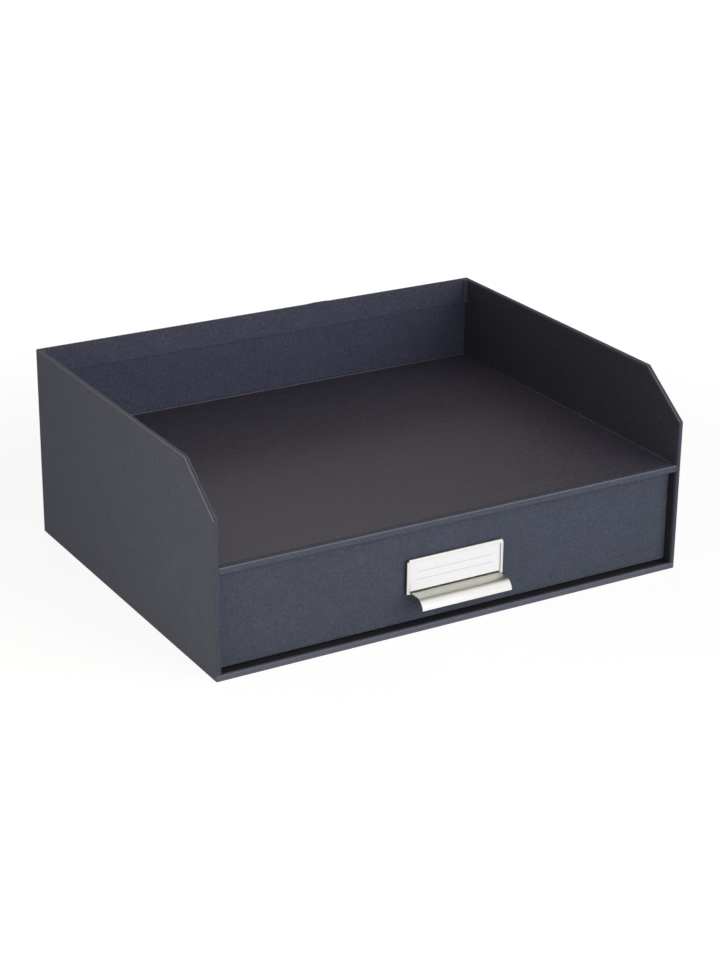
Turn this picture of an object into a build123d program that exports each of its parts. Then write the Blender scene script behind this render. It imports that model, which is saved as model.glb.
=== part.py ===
from build123d import *
from math import cos, radians, sin, tan
import os

# A document organiser of paper-covered board: an open tray over one drawer with a label pull.
# X runs to the right, the front faces -Y, Z is up, and the origin is the middle of the underside.

# Case, in millimetres
case_width = 330.0
case_depth = 252.0
case_height = 127.6
wall_board = 2.1
base_board_thickness = 3.3
shelf_board_thickness = 3.7
tray_floor_height = 71.3
front_cut_run = 36.7
front_cut_drop = 27.0
shelf_setback = 0.4
support_card_thickness = 0.8
support_setback = 0.5

# Cover papers and liners
paper = 0.3
board_edge_radius = 0.5
edge_lip = 2.0
shelf_lip = 4.0
shelf_joint_gap = 0.4
floor_upturn = 1.2
floor_upturn_radius = 0.6
back_turn_in = 17.0
corner_gusset = 2.5
lap_position = 50.0
lap_width = 10.0
lap_ramp = 6.0
lap_feather = 0.05
base_turn_under = 12.0
drawer_turn_under = 10.0

# Drawer and the room it runs in
drawer_front_board_thickness = 2.1
drawer_wall_board = 1.8
drawer_base_board_thickness = 1.8
drawer_front_lift = 1.4
drawer_recess = 5.5
drawer_side_gap = 0.4
drawer_floor_gap = 0.3
drawer_top_gap = 1.0
drawer_back_gap = 1.0

# Label frame and pull, bent from one sheet
sheet_metal = 0.7
label_offset = -0.6
frame_width = 69.4
frame_height = 21.8
frame_rise = 0.85
rim_width = 2.4
rim_fold_flat = 0.15
corner_notch = 1.4
card_space = 1.35
pull_side_gap = 0.4
pull_flat = 9.3
pull_radius = 7.4
pull_turn = 74.0
pull_end = 1.1
bend_radius = 0.6
lip_edge_radius = 0.25

# Label card, rivets and washers
card_thickness = 0.3
card_clearance = 0.3
card_foot_gap = 0.8
rivet_spacing = 40.0
rivet_diameter = 2.4
rivet_clearance = 0.05
rivet_head_diameter = 5.0
rivet_head_height = 0.35
rivet_tail_diameter = 4.0
rivet_tail_height = 1.0
washer_diameter = 8.0
washer_thickness = 0.6

# Planes that the case pieces share
near = 0.001
half_width = case_width / 2
front_y = -case_depth / 2
back_y = case_depth / 2
fold_radius = board_edge_radius + paper
wall = wall_board + 2 * paper
board_outer = half_width - paper
board_inner = board_outer - wall_board
side_inner = half_width - wall
back_board_inner = back_y - paper - wall_board
back_inner = back_y - wall
strip_y = back_inner - paper
strip_bottom = case_height - back_turn_in
lap_start = lap_position - lap_width
base_board_top = paper + base_board_thickness
base_top = base_board_top + paper
cut_bottom = case_height - front_cut_drop
cut_back = front_y + front_cut_run
shelf_under = tray_floor_height - shelf_board_thickness - 2 * paper
shelf_front = front_y + shelf_setback
shelf_liner_front = shelf_front + shelf_lip + shelf_joint_gap
support_front = front_y + support_setback
bay_half_width = side_inner - support_card_thickness - paper
bay_back = back_inner - support_card_thickness - paper

# Planes that the drawer pieces share
drawer_half_width = bay_half_width - drawer_side_gap
drawer_bottom = base_top + drawer_floor_gap
drawer_front_bottom = drawer_bottom + drawer_front_lift
drawer_top = shelf_under - drawer_top_gap
drawer_front = front_y + drawer_recess
drawer_back = bay_back - drawer_back_gap
drawer_board_outer = drawer_half_width - paper
drawer_board_inner = drawer_board_outer - drawer_wall_board
drawer_side_inner = drawer_board_inner - paper
drawer_front_board_back = drawer_front + paper + drawer_front_board_thickness
drawer_front_inner = drawer_front_board_back + paper
drawer_back_board_inner = drawer_back - paper - drawer_wall_board
drawer_back_inner = drawer_back_board_inner - paper
drawer_base_board_top = drawer_bottom + paper + drawer_base_board_thickness
drawer_floor = drawer_base_board_top + paper

# Planes that the label pull, its card and its rivets share
frame_middle = (drawer_front_bottom + drawer_top) / 2 + frame_rise
frame_top = frame_middle + frame_height / 2
frame_left = label_offset - frame_width / 2
frame_right = label_offset + frame_width / 2
rim_top = frame_top - corner_notch
rim_depth = 2 * sheet_metal + card_space
rim_fold_radius = (rim_depth - rim_fold_flat) / 2
pull_top = frame_middle - frame_height / 2
pull_under = pull_top - sheet_metal
pull_length = frame_width - 2 * (rim_width + pull_side_gap)
plate_front = drawer_front - sheet_metal
rim_back = plate_front - card_space
rivet_hole_radius = rivet_diameter / 2 + rivet_clearance
rivet_places = [(label_offset + side * rivet_spacing / 2, frame_middle) for side in (-1, 1)]
washer_back = drawer_front_inner + washer_thickness
rivet_dome_radius = (rivet_tail_diameter**2 / 4 + rivet_tail_height**2) / (2 * rivet_tail_height)


def box_between(low, high, mode=Mode.ADD):
    size = Vector(*high) - Vector(*low)
    with Locations(low):
        Box(size.X, size.Y, size.Z, align=(Align.MIN, Align.MIN, Align.MIN), mode=mode)


# A panel's edges that paper folds round: its underside, its upright corners and its top edge in front
def panel_fold_edges(edges):
    top = edges.group_by(Axis.Z)[-1]
    return edges.group_by(Axis.Z)[0] + edges.filter_by(Axis.Z) + top.group_by(Axis.Y)[0]


# A side wall seen from the side, drawn in by inset along its front, slanted and top edges
def wall_outline(inset, bottom, back):
    with BuildSketch() as outline:
        with BuildLine():
            Polyline(
                (front_y, bottom - inset),
                (front_y, cut_bottom),
                (cut_back, case_height),
                (back + inset, case_height),
                (back + inset, bottom - inset),
                close=True,
            )
        make_face()
        if inset > 0:
            offset(amount=-inset, kind=Kind.INTERSECTION)
    return outline.sketch


# Edges of the walls that paper folds round: the rims on both faces, the back corners and the front feet
def wall_fold_edges(edges):
    along_x = edges.filter_by(Axis.X)
    rims = edges.group_by(Axis.Z)[-1]
    ridges = rims.filter_by(Axis.X).group_by(Axis.Y)[0]
    fronts = edges.filter_by_position(Axis.Y, front_y, ridges[0].center().Y - near) - along_x
    corners = edges.filter_by(Axis.Z).group_by(Axis.Y)[-1]
    feet = along_x.group_by(Axis.Z)[0].group_by(Axis.Y)[0]
    return (rims - ridges) + fronts + corners + feet


# A skin over the covered back wall, up its outer face, over its top and down its turned-over strip
def back_wall_skin(thickness):
    with BuildSketch() as skin:
        with BuildLine():
            FilletPolyline(
                (back_y, fold_radius),
                (back_y, case_height),
                (strip_y, case_height),
                (strip_y, strip_bottom),
                radius=fold_radius,
            )
            offset(amount=thickness, side=Side.RIGHT)
        make_face()
    return skin.sketch


# The label frame's sheet folded over into a rim, drawn from the rim's outer edge on the drawer front
def folded_rim():
    with BuildSketch() as rim:
        with BuildLine():
            for skin in (0, sheet_metal):
                FilletPolyline(
                    (-rim_width, skin),
                    (-skin, skin),
                    (-skin, rim_depth - skin),
                    (-rim_width, rim_depth - skin),
                    radius=rim_fold_radius - skin,
                )
            Line((-rim_width, 0), (-rim_width, sheet_metal))
            Line((-rim_width, rim_depth - sheet_metal), (-rim_width, rim_depth))
        make_face()
    return rim.sketch


def rivet_holes(start, end):
    with Locations(*[(x, start, z) for x, z in rivet_places]):
        Cylinder(
            rivet_hole_radius,
            end - start,
            rotation=(-90, 0, 0),
            align=(Align.CENTER, Align.CENTER, Align.MIN),
            mode=Mode.SUBTRACT,
        )


# Case boards
with BuildPart() as base_board:
    box_between((-board_outer, front_y + paper, paper), (board_outer, back_y - paper, base_board_top))
    fillet(panel_fold_edges(base_board.edges()), board_edge_radius)

with BuildPart() as right_side_board:
    with BuildSketch(Plane.YZ.offset(board_inner)):
        add(wall_outline(paper, base_top, back_y - paper))
    extrude(amount=wall_board)
    fillet(wall_fold_edges(right_side_board.edges()), board_edge_radius)

with BuildPart() as left_side_board:
    mirror(right_side_board.part, about=Plane.YZ)

with BuildPart() as back_board:
    box_between(
        (-board_inner, back_board_inner, base_top), (board_inner, back_y - paper, case_height - paper)
    )
    fillet(back_board.edges().filter_by(Axis.X).group_by(Axis.Z)[-1], board_edge_radius)

# Liners on the inner faces of the walls, and the sheet on the bay's floor
with BuildPart() as right_wall_liner:
    with BuildSketch(Plane.YZ.offset(side_inner)):
        add(wall_outline(edge_lip, base_top, back_board_inner))
    extrude(amount=paper)

with BuildPart() as left_wall_liner:
    mirror(right_wall_liner.part, about=Plane.YZ)

with BuildPart() as back_wall_liner:
    box_between(
        (-side_inner, back_inner, base_top), (side_inner, back_board_inner, case_height - edge_lip)
    )

with BuildPart() as bay_floor_liner:
    box_between(
        (-board_outer, front_y + edge_lip, base_board_top), (board_outer, back_y - paper, base_top)
    )

# The covered case as one body, from which the cover sheets are cut
with BuildPart() as covered_base:
    box_between((-half_width, front_y, 0), (half_width, back_y, base_top))
    fillet(panel_fold_edges(covered_base.edges()), fold_radius)

with BuildPart() as covered_walls:
    with BuildSketch(Plane.YZ.offset(side_inner)):
        add(wall_outline(0, base_top, back_y))
    extrude(amount=wall)
    with BuildSketch(Plane.XY.offset(strip_bottom)):
        with BuildLine():
            Line((side_inner, strip_y), (side_inner, strip_y - corner_gusset))
            RadiusArc(
                (side_inner, strip_y - corner_gusset), (side_inner - corner_gusset, strip_y), corner_gusset
            )
            Line((side_inner - corner_gusset, strip_y), (side_inner, strip_y))
        make_face()
    extrude(amount=back_turn_in)
    mirror(about=Plane.YZ)
    box_between((-half_width, back_inner, base_top), (half_width, back_y, case_height))
    box_between((-side_inner, strip_y, strip_bottom), (side_inner, back_inner, case_height))
    fillet(wall_fold_edges(covered_walls.edges()), fold_radius)

with BuildPart() as case_paper:
    add(covered_base.part)
    add(covered_walls.part)
    for filling in (
        base_board,
        left_side_board,
        right_side_board,
        back_board,
        left_wall_liner,
        right_wall_liner,
        back_wall_liner,
        bay_floor_liner,
    ):
        add(filling.part, mode=Mode.SUBTRACT)

# What the base's own cover takes: the front edge, a lip on top and the underside between the turn-unders
with BuildPart() as base_cover_room:
    box_between((-half_width, front_y, 0), (half_width, front_y + fold_radius, base_top))
    box_between((-board_outer, front_y, 0), (board_outer, front_y + edge_lip, base_top))
    box_between(
        (base_turn_under - half_width, front_y, 0),
        (half_width - base_turn_under, back_y - base_turn_under, paper),
    )

with BuildPart() as base_cover_paper:
    add(case_paper.part)
    add(base_cover_room.part, mode=Mode.INTERSECT)

# Two sheets go round the walls and meet on the back, where the left one laps over the right one
with BuildPart() as left_wrap_sheet:
    add(case_paper.part)
    add(base_cover_room.part, mode=Mode.SUBTRACT)
    split(bisect_by=Plane.YZ.offset(lap_start), keep=Keep.BOTTOM)
    for lap_x, lap_thickness in ((lap_start - lap_ramp, lap_feather), (lap_start, paper)):
        with BuildSketch(Plane.YZ.offset(lap_x)):
            add(back_wall_skin(lap_thickness))
    loft(ruled=True)
    with BuildSketch(Plane.YZ.offset(lap_start)):
        add(back_wall_skin(paper))
    extrude(amount=lap_width)

with BuildPart() as right_wrap_sheet:
    add(case_paper.part)
    add(base_cover_room.part, mode=Mode.SUBTRACT)
    split(bisect_by=Plane.YZ.offset(lap_start), keep=Keep.TOP)

# Shelf that is the tray's floor, and the cards that carry it
with BuildPart() as shelf_board:
    box_between(
        (-side_inner, shelf_front + paper, shelf_under + paper),
        (side_inner, back_inner, tray_floor_height - paper),
    )
    fillet(shelf_board.edges().filter_by(Axis.X).group_by(Axis.Y)[0], board_edge_radius)

with BuildPart() as shelf_wrap_paper:
    box_between((-side_inner, shelf_front, shelf_under), (side_inner, back_inner, tray_floor_height))
    fillet(shelf_wrap_paper.edges().filter_by(Axis.X).group_by(Axis.Y)[0], fold_radius)
    add(shelf_board.part, mode=Mode.SUBTRACT)
    box_between(
        (-side_inner, shelf_front + shelf_lip, tray_floor_height - paper),
        (side_inner, back_inner, tray_floor_height),
        mode=Mode.SUBTRACT,
    )

with BuildPart() as tray_floor_liner:
    box_between(
        (-side_inner, shelf_liner_front, tray_floor_height - paper),
        (side_inner, back_inner, tray_floor_height + floor_upturn),
    )
    box_between(
        (paper - side_inner, shelf_liner_front, tray_floor_height),
        (side_inner - paper, back_inner - paper, tray_floor_height + floor_upturn),
        mode=Mode.SUBTRACT,
    )
    floor_face = tray_floor_liner.faces().filter_by(Axis.Z).sort_by(Axis.Z)[1]
    fillet(floor_face.edges() - floor_face.edges().group_by(Axis.Y)[0], floor_upturn_radius)

with BuildPart() as right_support_card:
    box_between(
        (side_inner - support_card_thickness, support_front + paper, base_top),
        (side_inner, back_inner, shelf_under),
    )

with BuildPart() as right_support_paper:
    box_between((bay_half_width, support_front, base_top), (side_inner, back_inner, shelf_under))
    fillet(
        right_support_paper.edges().filter_by(Axis.Z).group_by(Axis.Y)[0].sort_by(Axis.X)[0], fold_radius
    )
    add(right_support_card.part, mode=Mode.SUBTRACT)

with BuildPart() as left_support_card:
    mirror(right_support_card.part, about=Plane.YZ)

with BuildPart() as left_support_paper:
    mirror(right_support_paper.part, about=Plane.YZ)

with BuildPart() as back_support_card:
    box_between(
        (-bay_half_width, back_inner - support_card_thickness, base_top),
        (bay_half_width, back_inner, shelf_under),
    )

with BuildPart() as back_support_paper:
    box_between(
        (-bay_half_width, bay_back, base_top),
        (bay_half_width, back_inner - support_card_thickness, shelf_under),
    )

# Drawer boards
with BuildPart() as drawer_base_board:
    box_between(
        (-drawer_board_outer, drawer_front_board_back + paper, drawer_bottom + paper),
        (drawer_board_outer, drawer_back - paper, drawer_base_board_top),
    )
    fillet(
        drawer_base_board.edges().group_by(Axis.Z)[0]
        + drawer_base_board.edges().filter_by(Axis.Z).group_by(Axis.Y)[-1],
        board_edge_radius,
    )

with BuildPart() as drawer_front_board:
    box_between(
        (-drawer_board_outer, drawer_front + paper, drawer_front_bottom + paper),
        (drawer_board_outer, drawer_front_board_back, drawer_top - paper),
    )
    fillet(
        drawer_front_board.edges().group_by(Axis.Y)[0]
        + drawer_front_board.edges().filter_by(Axis.X).group_by(Axis.Z)[-1].group_by(Axis.Y)[-1],
        board_edge_radius,
    )
    rivet_holes(drawer_front, drawer_front_inner)

with BuildPart() as drawer_right_board:
    box_between(
        (drawer_board_inner, drawer_front_board_back, drawer_base_board_top),
        (drawer_board_outer, drawer_back - paper, drawer_top - paper),
    )
    fillet(
        drawer_right_board.edges().filter_by(Axis.Y).group_by(Axis.Z)[-1]
        + drawer_right_board.edges().filter_by(Axis.Z).group_by(Axis.Y)[-1].sort_by(Axis.X)[-1:],
        board_edge_radius,
    )

with BuildPart() as drawer_left_board:
    mirror(drawer_right_board.part, about=Plane.YZ)

with BuildPart() as drawer_back_board:
    box_between(
        (-drawer_board_inner, drawer_back_board_inner, drawer_base_board_top),
        (drawer_board_inner, drawer_back - paper, drawer_top - paper),
    )
    fillet(drawer_back_board.edges().filter_by(Axis.X).group_by(Axis.Z)[-1], board_edge_radius)

# Drawer liners
with BuildPart() as drawer_floor_liner:
    box_between(
        (-drawer_board_inner, drawer_front_board_back, drawer_base_board_top),
        (drawer_board_inner, drawer_back_board_inner, drawer_floor),
    )

with BuildPart() as drawer_front_liner:
    box_between(
        (-drawer_board_inner, drawer_front_board_back, drawer_floor),
        (drawer_board_inner, drawer_front_inner, drawer_top - edge_lip),
    )
    rivet_holes(drawer_front, drawer_front_inner)

with BuildPart() as drawer_back_liner:
    box_between(
        (-drawer_board_inner, drawer_back_inner, drawer_floor),
        (drawer_board_inner, drawer_back_board_inner, drawer_top - edge_lip),
    )

with BuildPart() as drawer_right_liner:
    box_between(
        (drawer_side_inner, drawer_front_inner, drawer_floor),
        (drawer_board_inner, drawer_back_inner, drawer_top - edge_lip),
    )

with BuildPart() as drawer_left_liner:
    mirror(drawer_right_liner.part, about=Plane.YZ)

# The covered drawer as one body, its front hung clear of the bay's floor, from which its sheets are cut
with BuildPart() as drawer_paper:
    box_between(
        (-drawer_half_width, drawer_front_board_back, drawer_bottom),
        (drawer_half_width, drawer_back, drawer_top),
    )
    box_between(
        (-drawer_half_width, drawer_front, drawer_front_bottom),
        (drawer_half_width, drawer_front_board_back, drawer_top),
    )
    box_between(
        (-drawer_side_inner, drawer_front_inner, drawer_floor),
        (drawer_side_inner, drawer_back_inner, drawer_top),
        mode=Mode.SUBTRACT,
    )
    upright_edges = drawer_paper.edges().filter_by(Axis.Z).group_by(Axis.Y)
    front_edges = drawer_paper.edges().filter_by(Axis.X).group_by(Axis.Y)[0]
    fillet(
        drawer_paper.edges().group_by(Axis.Z)[0]
        + drawer_paper.edges().group_by(Axis.Z)[-1]
        + front_edges.group_by(Axis.Z)[0]
        + upright_edges[0]
        + upright_edges[-1],
        fold_radius,
    )
    for filling in (
        drawer_base_board,
        drawer_front_board,
        drawer_left_board,
        drawer_right_board,
        drawer_back_board,
        drawer_floor_liner,
        drawer_front_liner,
        drawer_left_liner,
        drawer_right_liner,
        drawer_back_liner,
    ):
        add(filling.part, mode=Mode.SUBTRACT)
    rivet_holes(drawer_front, drawer_front_inner)

with BuildPart() as drawer_front_room:
    box_between(
        (-drawer_half_width, drawer_front, drawer_front_bottom),
        (drawer_half_width, drawer_front_board_back, drawer_top),
    )
    box_between(
        (-drawer_board_inner, drawer_front_board_back, drawer_top - edge_lip),
        (drawer_board_inner, drawer_front_inner, drawer_top),
    )

with BuildPart() as drawer_base_room:
    box_between(
        (drawer_turn_under - drawer_half_width, drawer_front_board_back, drawer_bottom),
        (drawer_half_width - drawer_turn_under, drawer_back - drawer_turn_under, drawer_bottom + paper),
    )
    box_between(
        (-drawer_board_outer, drawer_front_board_back, drawer_bottom),
        (drawer_board_outer, drawer_front_board_back + fold_radius, drawer_base_board_top),
    )

with BuildPart() as drawer_front_wrap:
    add(drawer_paper.part)
    add(drawer_front_room.part, mode=Mode.INTERSECT)

with BuildPart() as drawer_base_paper:
    add(drawer_paper.part)
    add(drawer_base_room.part, mode=Mode.INTERSECT)

with BuildPart() as drawer_body_wrap:
    add(drawer_paper.part)
    add(drawer_front_room.part, mode=Mode.SUBTRACT)
    add(drawer_base_room.part, mode=Mode.SUBTRACT)

# Label frame with rims folded over on three sides and notched corners, running on into the pull below it
with BuildPart() as label_pull:
    with BuildSketch(Plane((frame_right, drawer_front, rim_top), x_dir=(1, 0, 0), z_dir=(0, 0, -1))):
        add(folded_rim())
    extrude(amount=rim_top - pull_under)
    mirror(about=Plane.YZ.offset(label_offset))
    with BuildSketch(
        Plane((frame_left + corner_notch, drawer_front, frame_top), x_dir=(0, 0, 1), z_dir=(1, 0, 0))
    ):
        add(folded_rim())
    extrude(amount=frame_width - 2 * corner_notch)
    box_between(
        (frame_left + corner_notch, plate_front, pull_top + bend_radius),
        (frame_right - corner_notch, drawer_front, rim_top),
    )
    bend_reach = (pull_radius - sheet_metal) * tan(radians(pull_turn) / 2)
    corner_y = drawer_front - pull_flat - bend_reach
    end_length = bend_reach + pull_end
    with BuildSketch(Plane.YZ.offset(label_offset - pull_length / 2)):
        with BuildLine():
            FilletPolyline(
                (drawer_front, frame_middle),
                (drawer_front, pull_under),
                (corner_y, pull_under),
                (
                    corner_y - end_length * cos(radians(pull_turn)),
                    pull_under - end_length * sin(radians(pull_turn)),
                ),
                radius=[bend_radius + sheet_metal, pull_radius - sheet_metal],
            )
            offset(amount=sheet_metal, side=Side.RIGHT)
        make_face()
    extrude(amount=pull_length)
    fillet(label_pull.edges().filter_by(Axis.X).group_by(Axis.Z)[0], lip_edge_radius)
    fillet(label_pull.edges().filter_by(Axis.X).group_by(Axis.Y)[0], lip_edge_radius)
    rivet_holes(plate_front, drawer_front)

# The card slides in behind the rims and stands clear of their folds
with BuildPart() as label_card:
    fold_clearance = rim_fold_radius + card_clearance
    box_between(
        (frame_left + fold_clearance, rim_back, pull_top + card_foot_gap),
        (frame_right - fold_clearance, rim_back + card_thickness, frame_top - fold_clearance),
    )

# Rivets from the plate through the drawer front, closed over washers inside
with BuildPart() as pull_rivets:
    for rivet_x, rivet_z in rivet_places:
        with BuildSketch(Plane((rivet_x, 0, rivet_z), x_dir=(1, 0, 0), z_dir=(0, 0, 1))):
            with BuildLine():
                Polyline(
                    (0, plate_front - rivet_head_height),
                    (rivet_head_diameter / 2, plate_front - rivet_head_height),
                    (rivet_head_diameter / 2, plate_front),
                    (rivet_diameter / 2, plate_front),
                    (rivet_diameter / 2, washer_back),
                    (rivet_tail_diameter / 2, washer_back),
                )
                RadiusArc(
                    (rivet_tail_diameter / 2, washer_back),
                    (0, washer_back + rivet_tail_height),
                    -rivet_dome_radius,
                )
                Line((0, washer_back + rivet_tail_height), (0, plate_front - rivet_head_height))
            make_face()
        revolve(axis=Axis((rivet_x, 0, rivet_z), (0, 1, 0)))

with BuildPart() as rivet_washers:
    for rivet_x, rivet_z in rivet_places:
        with BuildSketch(Plane((rivet_x, drawer_front_inner, rivet_z), x_dir=(1, 0, 0), z_dir=(0, 1, 0))):
            Circle(washer_diameter / 2)
            Circle(rivet_hole_radius, mode=Mode.SUBTRACT)
        extrude(amount=washer_thickness)

pieces = {
    "base_board": base_board,
    "left_side_board": left_side_board,
    "right_side_board": right_side_board,
    "back_board": back_board,
    "base_cover_paper": base_cover_paper,
    "bay_floor_liner": bay_floor_liner,
    "left_wrap_sheet": left_wrap_sheet,
    "right_wrap_sheet": right_wrap_sheet,
    "left_wall_liner": left_wall_liner,
    "right_wall_liner": right_wall_liner,
    "back_wall_liner": back_wall_liner,
    "shelf_board": shelf_board,
    "shelf_wrap_paper": shelf_wrap_paper,
    "tray_floor_liner": tray_floor_liner,
    "left_support_card": left_support_card,
    "right_support_card": right_support_card,
    "back_support_card": back_support_card,
    "left_support_paper": left_support_paper,
    "right_support_paper": right_support_paper,
    "back_support_paper": back_support_paper,
    "drawer_base_board": drawer_base_board,
    "drawer_front_board": drawer_front_board,
    "drawer_left_board": drawer_left_board,
    "drawer_right_board": drawer_right_board,
    "drawer_back_board": drawer_back_board,
    "drawer_front_wrap": drawer_front_wrap,
    "drawer_body_wrap": drawer_body_wrap,
    "drawer_base_paper": drawer_base_paper,
    "drawer_floor_liner": drawer_floor_liner,
    "drawer_front_liner": drawer_front_liner,
    "drawer_back_liner": drawer_back_liner,
    "drawer_left_liner": drawer_left_liner,
    "drawer_right_liner": drawer_right_liner,
    "label_pull": label_pull,
    "label_card": label_card,
    "pull_rivets": pull_rivets,
    "rivet_washers": rivet_washers,
}

os.makedirs("parts", exist_ok=True)
for piece_name, piece in pieces.items():
    piece.part.label = piece_name
    export_step(piece.part, f"parts/{piece_name}.step")
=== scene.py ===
import bpy
import math
from mathutils import Matrix, Vector


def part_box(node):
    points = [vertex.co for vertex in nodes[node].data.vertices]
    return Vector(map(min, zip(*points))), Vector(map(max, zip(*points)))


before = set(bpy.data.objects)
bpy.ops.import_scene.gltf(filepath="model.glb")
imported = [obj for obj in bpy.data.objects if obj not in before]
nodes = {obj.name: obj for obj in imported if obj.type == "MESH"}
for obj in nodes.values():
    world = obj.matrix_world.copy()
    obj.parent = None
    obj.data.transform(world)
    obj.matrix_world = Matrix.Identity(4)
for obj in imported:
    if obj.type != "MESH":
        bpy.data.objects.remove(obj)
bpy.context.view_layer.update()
mm = 0.001
white = (1, 1, 1, 1)
noiseLow, noiseHigh = 0.3, 0.7  # most values of a noise pattern lie between these
paperIor = 1.45
print("frame loaded,", len(nodes), "nodes")


def srgb(code):
    # sRGB hex to linear rgba
    channels = [int(code[i:i + 2], 16) / 255 for i in (1, 3, 5)]
    return tuple(c / 12.92 if c <= 0.04045 else ((c + 0.055) / 1.055) ** 2.4 for c in channels) + (1.0,)


def grey(level):
    # linear grey rgba
    return (level, level, level, 1)


def addNode(tree, kind, inputs=None, **settings):
    # one node with its settings, then its sockets: a socket is linked, anything else is a value
    node = tree.nodes.new(kind)
    for name, value in settings.items():
        setattr(node, name, value)
    for socket, value in (inputs or {}).items():
        if isinstance(value, bpy.types.NodeSocket):
            tree.links.new(value, node.inputs[socket])
        else:
            node.inputs[socket].default_value = value
    return node


def newMaterial(name):
    material = bpy.data.materials.new(name)
    material.use_nodes = True
    tree = material.node_tree
    tree.nodes.clear()
    return material, tree


def dress(material, nodeNames):
    for nodeName in nodeNames:
        piece = nodes[nodeName]
        piece.data.materials.clear()
        piece.data.materials.append(material)


def dyedPaper(look):
    # uncoated paper dyed in the pulp: matt, with fine pale and dark fibres, slow clouds where the pulp
    # lies thicker, a soft tooth, and folds rubbed a little paler, partly wear and partly a painted
    # highlight
    material, tree = newMaterial(look["name"])
    place = addNode(tree, "ShaderNodeTexCoord")
    fibre = addNode(tree, "ShaderNodeTexNoise", {
        "Vector": place.outputs["Object"], "Scale": 1 / (look["fibreMm"] * mm),
        "Detail": 3.0, "Roughness": 0.65})
    cloud = addNode(tree, "ShaderNodeTexNoise", {
        "Vector": place.outputs["Object"], "Scale": 1 / (look["cloudMm"] * mm),
        "Detail": 2.0, "Roughness": 0.5})
    speckle = addNode(tree, "ShaderNodeValToRGB", {"Fac": fibre.outputs["Fac"]})
    speckle.color_ramp.elements[0].position = noiseLow
    speckle.color_ramp.elements[0].color = srgb(look["darkFibre"])
    speckle.color_ramp.elements[1].position = noiseHigh
    speckle.color_ramp.elements[1].color = srgb(look["paleFibre"])
    tint = addNode(tree, "ShaderNodeMapRange", {
        "Value": cloud.outputs["Fac"], "From Min": noiseLow, "From Max": noiseHigh,
        "To Min": 1 - look["cloudDepth"], "To Max": 1 + look["cloudDepth"]})
    dye = addNode(tree, "ShaderNodeVectorMath", {
        0: speckle.outputs["Color"], 1: tint.outputs["Result"]}, operation="MULTIPLY")
    spot = addNode(tree, "ShaderNodeSeparateXYZ", {0: place.outputs["Object"]})
    turn = addNode(tree, "ShaderNodeSeparateXYZ", {0: place.outputs["Normal"]})
    if "inwardPaintedLightTint" in look:
        # painted light: paper that faces the middle, as the strip turned in over the back wall does, is
        # made lighter, standing in for fill light that falls there
        outwards = addNode(tree, "ShaderNodeMath", {
            0: spot.outputs["Y"], 1: turn.outputs["Y"]}, operation="MULTIPLY")
        inside = addNode(tree, "ShaderNodeMath", {
            0: outwards.outputs[0], 1: -look["insidePastMm"] * mm}, operation="LESS_THAN")
        paintedFill = addNode(tree, "ShaderNodeMix", {
            "Factor": inside.outputs[0], "A": white, "B": look["inwardPaintedLightTint"] + (1,)},
            data_type="RGBA")
        dye = addNode(tree, "ShaderNodeVectorMath", {
            0: dye.outputs["Vector"], 1: paintedFill.outputs["Result"]}, operation="MULTIPLY")
    if "paintedShadeBelow" in look:
        # painted shade: a thin dark line just below where the sheet above ends
        paintedShade = addNode(tree, "ShaderNodeMapRange", {
            "Value": spot.outputs["Z"], "From Min": look["paintedShadeBelow"] - look["paintedShadeMm"] * mm,
            "From Max": look["paintedShadeBelow"], "To Min": 1.0, "To Max": look["paintedShadeTone"]})
        dye = addNode(tree, "ShaderNodeVectorMath", {
            0: dye.outputs["Vector"], 1: paintedShade.outputs["Result"]}, operation="MULTIPLY")
    # folds that look upwards and towards these sides at once are made paler: rubbed wear and a painted
    # highlight
    facing = addNode(tree, "ShaderNodeVectorMath", {0: place.outputs["Normal"]}, operation="ABSOLUTE")
    sideways = addNode(tree, "ShaderNodeVectorMath", {
        0: facing.outputs["Vector"], 1: look["rubbedAndLitSides"]}, operation="DOT_PRODUCT")
    turned = addNode(tree, "ShaderNodeMath", {
        0: sideways.outputs["Value"], 1: turn.outputs["Z"]}, operation="MULTIPLY")
    rubbedAndLit = addNode(tree, "ShaderNodeMapRange", {
        "Value": turned.outputs[0], "From Min": look["rubbedAndLitFrom"], "From Max": look["rubbedAndLitFully"],
        "To Min": 0.0, "To Max": look["foldWearAndHighlight"]})
    colour = addNode(tree, "ShaderNodeMix", {
        "Factor": rubbedAndLit.outputs["Result"], "A": dye.outputs["Vector"],
        "B": srgb(look["foldWearAndHighlightTone"])}, data_type="RGBA")
    matt = addNode(tree, "ShaderNodeMapRange", {
        "Value": fibre.outputs["Fac"], "From Min": noiseLow, "From Max": noiseHigh,
        "To Min": look["roughness"] - look["roughSpread"],
        "To Max": look["roughness"] + look["roughSpread"]})
    tooth = addNode(tree, "ShaderNodeBump", {
        "Height": fibre.outputs["Fac"], "Strength": look["toothStrength"],
        "Distance": look["toothMm"] * mm})
    shader = addNode(tree, "ShaderNodeBsdfPrincipled", {
        "Base Color": colour.outputs["Result"], "Roughness": matt.outputs["Result"],
        "IOR": paperIor, "Specular IOR Level": look["gloss"], "Normal": tooth.outputs["Normal"]})
    addNode(tree, "ShaderNodeOutputMaterial", {"Surface": shader.outputs["BSDF"]})
    return material


# what the papers share, their fibres drawn coarse enough to show
paperStock = {
    "fibreMm": 1.2, "cloudMm": 14, "cloudDepth": 0.04, "roughness": 0.75, "roughSpread": 0.05,
    "gloss": 0.35, "toothStrength": 0.25, "toothMm": 0.05, "rubbedAndLitFrom": 0.05, "rubbedAndLitFully": 0.35,
}

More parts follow.
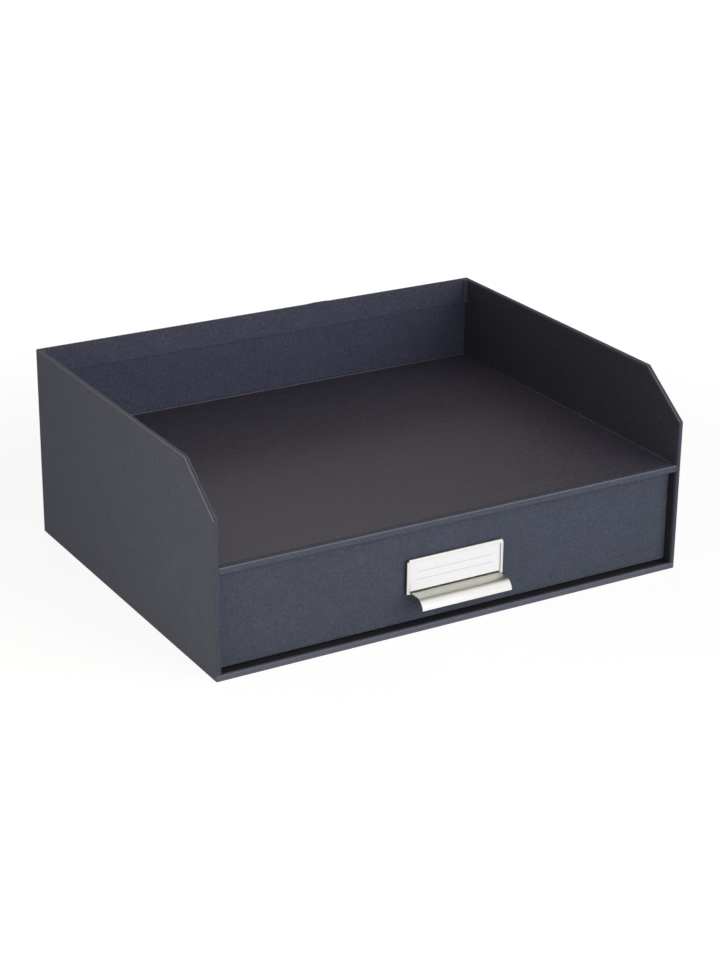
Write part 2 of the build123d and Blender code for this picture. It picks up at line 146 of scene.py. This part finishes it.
# graphite cover paper round the case and the drawer
coverPaper = {
    **paperStock, "name": "dyedGraphiteCoverPaper", "darkFibre": "#353a46", "paleFibre": "#4d515e",
    "rubbedAndLitSides": (1, 0, 0), "foldWearAndHighlightTone": "#7c7e88", "foldWearAndHighlight": 0.85,
    # painted light: lighter where this paper faces the middle
    "inwardPaintedLightTint": (1.2, 1.09, 1.19), "insidePastMm": 50,
}
dress(dyedPaper(coverPaper), [
    "left_wrap_sheet", "right_wrap_sheet", "left_support_paper", "drawer_front_wrap",
    "drawer_body_wrap", "drawer_base_paper"])

# the same paper a shade paler on the shelf, which shows as the tray's nose
shelfPaper = {
    **paperStock, "name": "dyedGraphiteShelfPaper", "darkFibre": "#3b3e4a", "paleFibre": "#535663",
    "rubbedAndLitSides": (0, 1, 0), "foldWearAndHighlightTone": "#70727d", "foldWearAndHighlight": 0.8,
}
dress(dyedPaper(shelfPaper), ["shelf_wrap_paper"])

# paler paper on the base, of which the front edge shows
basePaper = {
    **paperStock, "name": "dyedBlueGreyBasePaper", "darkFibre": "#51525f", "paleFibre": "#636473",
    "rubbedAndLitSides": (0, 1, 0), "foldWearAndHighlightTone": "#757683", "foldWearAndHighlight": 0.4,
}
dress(dyedPaper(basePaper), ["base_cover_paper"])

# liner paper inside the drawer and on the back wall, there up to the strip that is turned in
stripMm = 17
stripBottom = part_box("right_wrap_sheet")[1].z - stripMm * mm
linerPaper = {
    **paperStock, "name": "dyedSlateLinerPaper", "darkFibre": "#333646", "paleFibre": "#505265",
    "roughness": 0.78, "rubbedAndLitSides": (1, 1, 0), "foldWearAndHighlightTone": "#5c5e69", "foldWearAndHighlight": 0.4,
    # painted shade: a dark line on the liner just below the turned-in strip's lower edge
    "paintedShadeBelow": stripBottom, "paintedShadeMm": 1.3, "paintedShadeTone": 0.72,
}
dress(dyedPaper(linerPaper), [
    "back_wall_liner", "drawer_floor_liner", "drawer_front_liner", "drawer_back_liner",
    "drawer_left_liner", "drawer_right_liner"])

# black lining in the drawer's bay; on the right support it is painted shade for the dark recess there,
# while the left support keeps the cover paper
bayPaper = {
    **paperStock, "name": "blackBayPaperAndPaintedShade", "darkFibre": "#1c1c20", "paleFibre": "#28282c",
    "roughness": 0.78, "gloss": 0.3,
    "rubbedAndLitSides": (1, 1, 0), "foldWearAndHighlightTone": "#3a3a40", "foldWearAndHighlight": 0.3,
}
dress(dyedPaper(bayPaper), ["bay_floor_liner", "right_support_paper", "back_support_paper"])

# the tray floor's sheet, warmer and with more sheen, its grain drawn coarser to show at a low angle
trayPaper = {
    **paperStock, "name": "dyedCharcoalTrayPaper", "darkFibre": "#120f18", "paleFibre": "#433d4d",
    "fibreMm": 2.0, "cloudMm": 18, "cloudDepth": 0.05, "roughness": 0.66, "gloss": 0.66,
    "toothStrength": 0.4, "toothMm": 0.1,
    "rubbedAndLitSides": (0, 1, 0), "foldWearAndHighlightTone": "#5f6370", "foldWearAndHighlight": 0.7,
}
dress(dyedPaper(trayPaper), ["tray_floor_liner"])

# darker sheets on the side walls' inner faces
sidePaper = {
    **paperStock, "name": "dyedCharcoalSidePaper", "darkFibre": "#26282f", "paleFibre": "#3d3f48",
    "cloudMm": 18, "roughness": 0.72, "gloss": 0.4, "toothStrength": 0.2, "toothMm": 0.04,
    "rubbedAndLitSides": (0, 1, 0), "foldWearAndHighlightTone": "#4d4e56", "foldWearAndHighlight": 0.3,
}
dress(dyedPaper(sidePaper), ["left_wall_liner", "right_wall_liner"])

# solid greyboard, only seen in the hairline behind the shelf's lip, coloured dark there as painted shade
# for that hairline
greyBoard = {
    **paperStock, "name": "solidGreyboardDarkAsShade", "darkFibre": "#3a3836", "paleFibre": "#4a4845",
    "fibreMm": 1.0, "cloudMm": 9, "cloudDepth": 0.05, "roughness": 0.85, "gloss": 0.3,
    "toothStrength": 0.3, "toothMm": 0.06,
    "rubbedAndLitSides": (1, 1, 0), "foldWearAndHighlightTone": "#4f4c49", "foldWearAndHighlight": 0.2,
}
dress(dyedPaper(greyBoard), [
    "base_board", "left_side_board", "right_side_board", "back_board", "shelf_board",
    "left_support_card", "right_support_card", "back_support_card", "drawer_base_board",
    "drawer_front_board", "drawer_left_board", "drawer_right_board", "drawer_back_board"])
print("papers and boards dressed")


def satinNickel(look):
    # nickel-plated sheet steel, brushed along its length before plating: pale silver, soft reflections,
    # with painted shade on level faces and on the sides of folds, standing in for a dimmer reflection
    # there
    material, tree = newMaterial(look["name"])
    place = addNode(tree, "ShaderNodeTexCoord")
    stretch = addNode(tree, "ShaderNodeMapping", {
        "Vector": place.outputs["Object"],
        "Scale": [1 / (size * mm) for size in (look["strokeMm"], look["lineMm"], look["lineMm"])]})
    lines = addNode(tree, "ShaderNodeTexNoise", {
        "Vector": stretch.outputs["Vector"], "Scale": 1.0, "Detail": 2.0})
    satin = addNode(tree, "ShaderNodeMapRange", {
        "Value": lines.outputs["Fac"], "From Min": noiseLow, "From Max": noiseHigh,
        "To Min": look["roughness"] - look["roughSpread"],
        "To Max": look["roughness"] + look["roughSpread"]})
    tone = addNode(tree, "ShaderNodeValToRGB", {"Fac": lines.outputs["Fac"]})
    tone.color_ramp.elements[0].color = srgb(look["shade"])
    tone.color_ramp.elements[1].color = srgb(look["shine"])
    scratch = addNode(tree, "ShaderNodeBump", {
        "Height": lines.outputs["Fac"], "Strength": look["scratchStrength"],
        "Distance": look["scratchMm"] * mm})
    facing = addNode(tree, "ShaderNodeVectorMath", {0: place.outputs["Normal"]}, operation="ABSOLUTE")
    turn = addNode(tree, "ShaderNodeSeparateXYZ", {0: facing.outputs["Vector"]})
    colour = tone.outputs["Color"]
    # painted shade: level faces and the sides of folds are darkened, standing in for a dimmer reflection
    for axis, paintedShading in (("Z", "levelFaceShade"), ("X", "foldSideShade")):
        begins, full = look[paintedShading + "Turn"]
        share = addNode(tree, "ShaderNodeMapRange", {
            "Value": turn.outputs[axis], "From Min": begins, "From Max": full})
        colour = addNode(tree, "ShaderNodeMix", {
            "Factor": share.outputs["Result"], "A": colour, "B": srgb(look[paintedShading])},
            data_type="RGBA").outputs["Result"]
    shader = addNode(tree, "ShaderNodeBsdfPrincipled", {
        "Base Color": colour, "Metallic": 1.0,
        "Roughness": satin.outputs["Result"], "Normal": scratch.outputs["Normal"]})
    addNode(tree, "ShaderNodeOutputMaterial", {"Surface": shader.outputs["BSDF"]})
    return material


# brushed lines drawn coarser than real ones; a Turn is how far a face has to look along the axis
# before its painted shade begins, and where it is full
nickelPlate = {
    "lineMm": 0.5, "roughSpread": 0.04, "scratchStrength": 0.1, "scratchMm": 0.01,
    "levelFaceShadeTurn": (0.75, 0.97), "foldSideShadeTurn": (0.6, 0.95),
}

labelMetal = {
    **nickelPlate, "name": "satinNickelPlate", "shade": "#ebeae6", "shine": "#f4f3f0",
    # painted shade on level faces and on the sides of folds
    "levelFaceShade": "#c8c7bb", "foldSideShade": "#8c8b84", "roughness": 0.35, "strokeMm": 20,
}
dress(satinNickel(labelMetal), ["label_pull"])

rivetMetal = {
    **nickelPlate, "name": "nickelPlatedRivet", "shade": "#bdbab2", "shine": "#cfccc4",
    "levelFaceShade": "#bdbab2", "foldSideShade": "#bdbab2", "roughness": 0.34, "strokeMm": 2,
}
dress(satinNickel(rivetMetal), ["pull_rivets", "rivet_washers"])


def whiteCard(look):
    # smooth white index card, blank, with faint printed rules to write on
    material, tree = newMaterial(look["name"])
    low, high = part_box("label_card")
    place = addNode(tree, "ShaderNodeTexCoord")
    fibre = addNode(tree, "ShaderNodeTexNoise", {
        "Vector": place.outputs["Object"], "Scale": 1 / (look["fibreMm"] * mm), "Detail": 2.0})
    stock = addNode(tree, "ShaderNodeValToRGB", {"Fac": fibre.outputs["Fac"]})
    stock.color_ramp.elements[0].color = srgb(look["darkFibre"])
    stock.color_ramp.elements[1].color = srgb(look["paleFibre"])
    axes = addNode(tree, "ShaderNodeSeparateXYZ", {0: place.outputs["Object"]})

    def within(axis, middle, reach):
        # 1 where the place along an axis lies within reach of a middle
        return addNode(tree, "ShaderNodeMath", {
            0: axes.outputs[axis], 1: middle, 2: reach}, operation="COMPARE").outputs[0]

    ink = 0.0
    for drop in look["rulesDownMm"]:
        rule = within("Z", high.z - drop * mm, look["ruleMm"] * mm / 2)
        ink = addNode(tree, "ShaderNodeMath", {0: ink, 1: rule}, operation="MAXIMUM").outputs[0]
    width = within("X", (low.x + high.x) / 2, (high.x - low.x) / 2 - look["marginMm"] * mm)
    printed = addNode(tree, "ShaderNodeMath", {0: ink, 1: width}, operation="MULTIPLY")
    colour = addNode(tree, "ShaderNodeMix", {
        "Factor": printed.outputs[0], "A": stock.outputs["Color"],
        "B": srgb(look["ruleTone"])}, data_type="RGBA")
    shader = addNode(tree, "ShaderNodeBsdfPrincipled", {
        "Base Color": colour.outputs["Result"], "Roughness": look["roughness"], "IOR": paperIor})
    addNode(tree, "ShaderNodeOutputMaterial", {"Surface": shader.outputs["BSDF"]})
    return material


labelCard = {
    "name": "smoothWhiteCard", "darkFibre": "#f0f0f3", "paleFibre": "#f6f6f9", "fibreMm": 1.0,
    "roughness": 0.5, "rulesDownMm": (7.5, 12.5), "ruleMm": 0.25, "marginMm": 6, "ruleTone": "#b4b6bb",
}
dress(whiteCard(labelCard), ["label_card"])
print("label dressed")


def shownRay(tree):
    # rays that show the background: seen directly, mirrored or through glass
    path = addNode(tree, "ShaderNodeLightPath")
    shown = path.outputs["Is Camera Ray"]
    for kind in ("Is Glossy Ray", "Is Transmission Ray"):
        either = addNode(tree, "ShaderNodeMath", {
            0: shown, 1: path.outputs[kind]}, operation="MAXIMUM")
        shown = either.outputs[0]
    return shown


def paleFloor(look):
    half = look["size"] / 2
    mesh = bpy.data.meshes.new("paleFloor")
    corners = [(-half, -half, 0), (half, -half, 0), (half, half, 0), (-half, half, 0)]
    mesh.from_pydata(corners, [], [(0, 1, 2, 3)])
    floor = bpy.data.objects.new("paleFloor", mesh)
    bpy.context.collection.objects.link(floor)
    material, tree = newMaterial("paleStudioFloor")
    bounce = addNode(tree, "ShaderNodeBsdfDiffuse", {"Color": grey(look["bounce"])})
    paper = addNode(tree, "ShaderNodeBsdfDiffuse", {"Color": grey(look["shownPaper"])})
    place = addNode(tree, "ShaderNodeTexCoord")
    away = addNode(tree, "ShaderNodeVectorMath", {0: place.outputs["Object"]}, operation="LENGTH")
    shadeFrom, shadeTo = look["shadeReach"]
    lift = addNode(tree, "ShaderNodeMapRange", {
        "Value": away.outputs["Value"], "From Min": shadeFrom, "From Max": shadeTo,
        "To Min": look["shownGlow"], "To Max": 1.0}, interpolation_type="SMOOTHSTEP")
    glow = addNode(tree, "ShaderNodeEmission", {"Color": white, "Strength": lift.outputs["Result"]})
    shown = addNode(tree, "ShaderNodeAddShader", {0: paper.outputs[0], 1: glow.outputs[0]})
    surface = addNode(tree, "ShaderNodeMixShader", {
        0: shownRay(tree), 1: bounce.outputs[0], 2: shown.outputs[0]})
    addNode(tree, "ShaderNodeOutputMaterial", {"Surface": surface.outputs[0]})
    mesh.materials.append(material)


# plain white paper that bounces light, shown with a glow so that only a faint shadow stays, in metres
floorLook = {
    "size": 8.0, "bounce": 0.8, "shownGlow": 0.9, "shownPaper": 0.19, "shadeReach": (0.25, 0.7),
}
paleFloor(floorLook)


def directionTo(bearing, height):
    # bearing is from the front towards the right, both angles in degrees
    bearing, height = math.radians(bearing), math.radians(height)
    return Vector((
        math.sin(bearing) * math.cos(height), -math.cos(bearing) * math.cos(height), math.sin(height)))


def whiteStudio(look):
    # white all round with a darker patch high behind, and dim as a light
    world = bpy.data.worlds.new("whiteStudio")
    world.use_nodes = True
    tree = world.node_tree
    tree.nodes.clear()
    skyward = addNode(tree, "ShaderNodeTexCoord")
    near = addNode(tree, "ShaderNodeVectorMath", {
        0: skyward.outputs["Generated"], 1: directionTo(*look["patchAt"])}, operation="DOT_PRODUCT")
    patchEdge, patchCore = look["patchReach"]
    dimmed = addNode(tree, "ShaderNodeMapRange", {
        "Value": near.outputs["Value"], "From Min": patchEdge, "From Max": patchCore,
        "To Min": 0.0, "To Max": 1.0}, interpolation_type="SMOOTHSTEP")
    colour = addNode(tree, "ShaderNodeMix", {
        "Factor": dimmed.outputs["Result"], "A": white, "B": srgb(look["patchTone"])},
        data_type="RGBA")
    strength = addNode(tree, "ShaderNodeMix", {
        "Factor": shownRay(tree), "A": look["light"], "B": look["shown"]})
    sky = addNode(tree, "ShaderNodeBackground", {
        "Color": colour.outputs["Result"], "Strength": strength.outputs["Result"]})
    addNode(tree, "ShaderNodeOutputWorld", {"Surface": sky.outputs[0]})
    bpy.context.scene.world = world


# patchReach is the cosine of the angle to the patch's middle, at its edge and where it is darkest
studioLook = {
    "shown": 1.0, "light": 0.04,
    "patchTone": "#a8a48e", "patchAt": (132, 48), "patchReach": (0.8, 0.98),
}
whiteStudio(studioLook)

lampTarget = Vector((0, 0, 60 * mm))  # about the middle of the object


def softBox(look):
    lamp = bpy.data.lights.new(look["name"], "AREA")
    lamp.shape = "SQUARE"
    lamp.size = look["size"]
    lamp.color = srgb(look["tint"])[:3]
    # at level 1 a matt face that looks at the lamp shows its colour as written
    lamp.energy = look["level"] * (math.pi * look["distance"]) ** 2
    holder = bpy.data.objects.new(look["name"], lamp)
    away = directionTo(look["bearing"], look["height"])
    holder.location = lampTarget + away * look["distance"]
    holder.rotation_euler = away.to_track_quat("Z", "Y").to_euler()
    holder.visible_glossy = look["mirrored"]
    bpy.context.collection.objects.link(holder)


# key from the right, a small fill in front, warm light low on the left, a little light from behind;
# the metal mirrors the white studio and not the key, so that its lip doesn't clip
keyBox = {
    "name": "keyBox", "bearing": 32, "height": 20, "distance": 1.6, "size": 1.3, "level": 0.66,
    "tint": "#ffffff", "mirrored": False,
}
fillBox = {
    "name": "fillBox", "bearing": -5, "height": 15, "distance": 0.6, "size": 0.3, "level": 0.2,
    "tint": "#ffffff", "mirrored": True,
}
leftBox = {
    "name": "leftBox", "bearing": -72, "height": 5, "distance": 0.56, "size": 0.28, "level": 0.4,
    "tint": "#ffeedd", "mirrored": False,
}
rearBox = {
    "name": "rearBox", "bearing": 165, "height": 14, "distance": 1.6, "size": 0.9, "level": 0.22,
    "tint": "#ffffff", "mirrored": True,
}
for box in (keyBox, fillBox, leftBox, rearBox):
    softBox(box)
print("floor, studio and soft boxes set")


def standCamera(look):
    back = directionTo(look["bearing"], look["height"])
    level = Vector((0, 0, 1)).cross(back).normalized()
    upright = back.cross(level)
    roll = math.radians(look["roll"])
    right = level * math.cos(roll) + upright * math.sin(roll)
    top = upright * math.cos(roll) - level * math.sin(roll)
    lens = bpy.data.cameras.new("shot")
    lens.sensor_fit = "VERTICAL"
    lens.sensor_height = look["sensor"]
    lens.lens = look["lens"]
    camera = bpy.data.objects.new("shot", lens)
    turn = Matrix((right, top, back)).transposed().to_4x4()
    camera.matrix_world = Matrix.Translation(Vector(look["placeMm"]) * mm) @ turn
    bpy.context.collection.objects.link(camera)
    bpy.context.scene.camera = camera


# where the photograph was taken from, angles in degrees
shot = {
    "bearing": -30.547, "height": 22.12, "roll": 0.59, "placeMm": (-684.3, -1166.2, 598.5),
    "lens": 84.67, "sensor": 36.0,
}
standCamera(shot)
bpy.context.scene.view_settings.view_transform = "Standard"
print("camera set")
